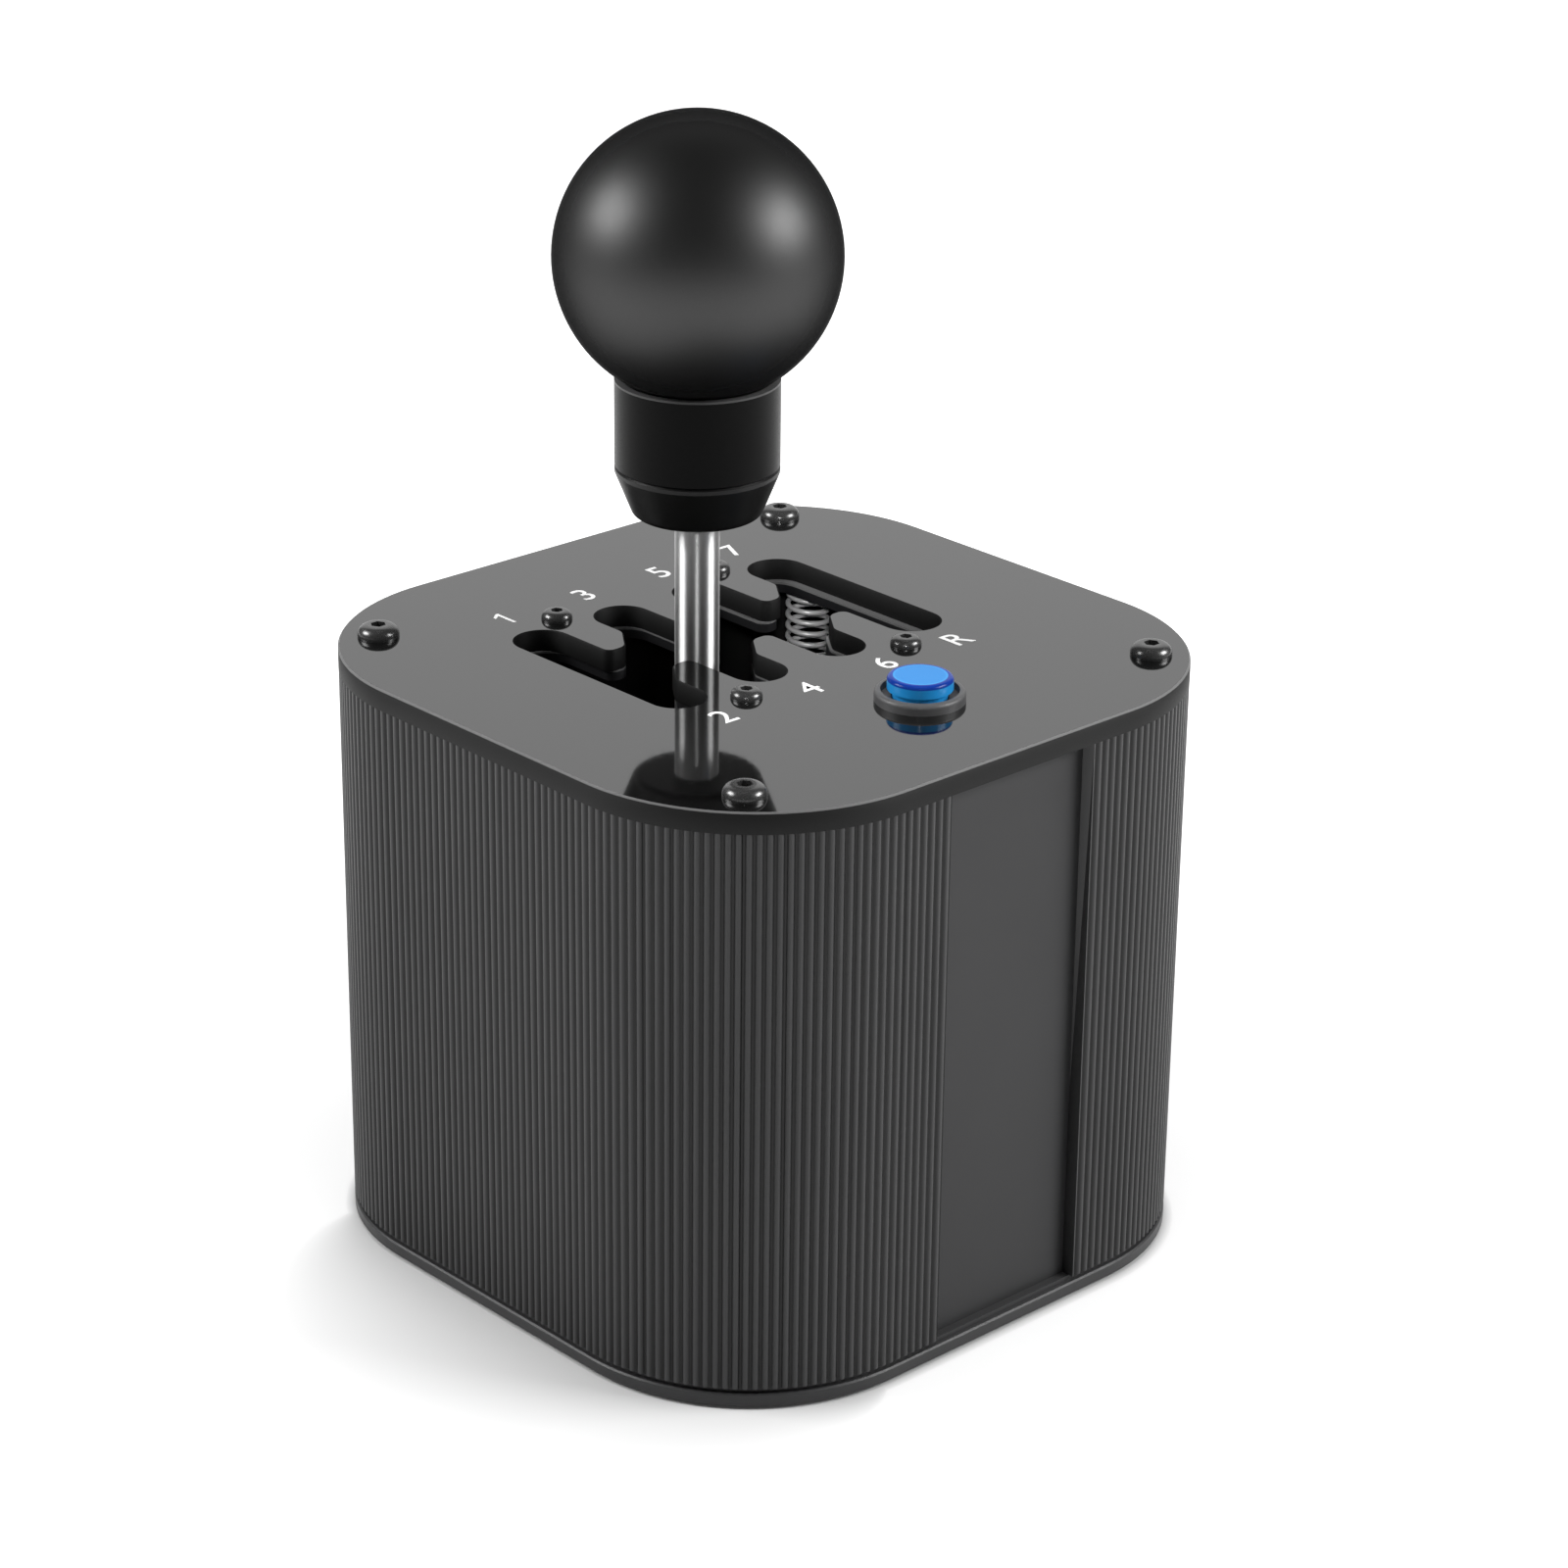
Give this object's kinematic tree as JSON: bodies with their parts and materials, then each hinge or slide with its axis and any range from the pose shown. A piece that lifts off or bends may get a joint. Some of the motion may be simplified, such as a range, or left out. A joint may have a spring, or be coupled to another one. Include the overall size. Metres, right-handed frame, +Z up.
{
  "type": "sim racing gear shifter",
  "caption": "H-pattern gear shifter for racing simulators: square fluted housing, gloss top plate with a gate, blue push button and a lever with a ball knob.",
  "frame": {"origin": "centre of the square body on the surface that the feet stand on", "axes": "+X to the driver's right, +Y forward away from the driver, +Z up along the lever at rest"},
  "size_m": [0.13, 0.13, 0.2096],
  "materials": {
    "anodised_black": "fine dark anodised aluminium, fluted",
    "gloss_black": "mirror-smooth gloss black",
    "dark_strip": "smooth satin dark strip",
    "base_black": "satin black coated plate",
    "rubber_black": "matt rubber",
    "screw_black": "glossy black oxide",
    "zinc_steel": "zinc-plated steel",
    "spring_steel": "bright spring steel",
    "polished_steel": "polished steel rod",
    "machined_aluminium": "machined aluminium",
    "bronze": "sintered bronze",
    "brass": "plain brass",
    "magnet_nickel": "nickel-plated magnet",
    "circuit_board": "green solder mask",
    "button_shell": "dark bezel",
    "button_blue": "translucent blue plastic",
    "plug_white": "natural nylon",
    "lead_black": "soft black lead",
    "knob_black": "satin black with soft highlights",
    "collar_black": "satin black turned aluminium"
  },
  "bodies": {
    "housing": {"housing": "anodised_black", "front_panel": "dark_strip", "rear_panel": "dark_strip", "base_plate": "base_black", "feet": "rubber_black", "mount_inserts": "zinc_steel", "base_screws": "screw_black", "gate_plate": "base_black", "top_plate": "gloss_black", "corner_screws": "screw_black", "gate_screws": "screw_black", "button_body": "button_shell", "button_nut": "zinc_steel", "button_pins": "zinc_steel", "button_plug": "plug_white", "button_lead": "lead_black", "button_spring": "spring_steel", "front_bracket": "machined_aluminium", "rear_bracket": "machined_aluminium", "bracket_screws": "screw_black", "select_bush_front": "bronze", "select_bush_rear": "bronze", "select_sensor_board": "circuit_board", "select_spacers": "brass", "sensor_lead": "lead_black", "controller_board": "circuit_board", "board_standoffs": "brass", "board_screws": "zinc_steel", "usb_socket": "zinc_steel", "spring_left": "spring_steel", "spring_right": "spring_steel"},
    "select_yoke": {"yoke": "machined_aluminium", "select_shaft_front": "polished_steel", "select_shaft_rear": "polished_steel", "select_magnet": "magnet_nickel", "spring_bar": "zinc_steel", "bar_screws": "screw_black", "cross_bush_left": "bronze", "cross_bush_right": "bronze", "shift_sensor_board": "circuit_board", "shift_spacers": "brass", "detent_sleeve": "zinc_steel", "detent_spring": "spring_steel"},
    "lever": {"lever_foot": "machined_aluminium", "cross_shaft": "polished_steel", "shift_magnet": "magnet_nickel", "lever_rod": "polished_steel", "lever_lock_nut": "zinc_steel", "cone_nut": "collar_black", "collar": "collar_black", "knob_insert": "brass", "knob": "knob_black"},
    "detent_plunger": {"detent_plunger": "zinc_steel"},
    "button": {"button_cap": "button_blue"}
  },
  "joints": [
    {"name": "select_tilt", "type": "hinge", "parent": "housing", "child": "select_yoke", "pos_m": [-0.0087, 0.0082, 0.022], "axis": [0, 1, 0], "range_deg": [-12.55, 22.85], "stiffness_Nm_per_rad": 3, "deforming": ["spring_left", "spring_right"]},
    {"name": "shift_tilt", "type": "hinge", "parent": "select_yoke", "child": "lever", "pos_m": [-0.0087, 0.0082, 0.022], "axis": [1, 0, 0], "range_deg": [-11.08, 9.69]},
    {"name": "detent_travel", "type": "slide", "parent": "select_yoke", "child": "detent_plunger", "axis": [0, -1, 0], "range_m": [0, 0.0005], "stiffness_N_per_m": 1500, "springref_m": 0.002},
    {"name": "button_press", "type": "slide", "parent": "housing", "child": "button", "axis": [0, 0, -1], "range_m": [0, 0.0014], "stiffness_N_per_m": 800, "springref_m": -0.002, "deforming": ["button_spring"]}
  ]
}
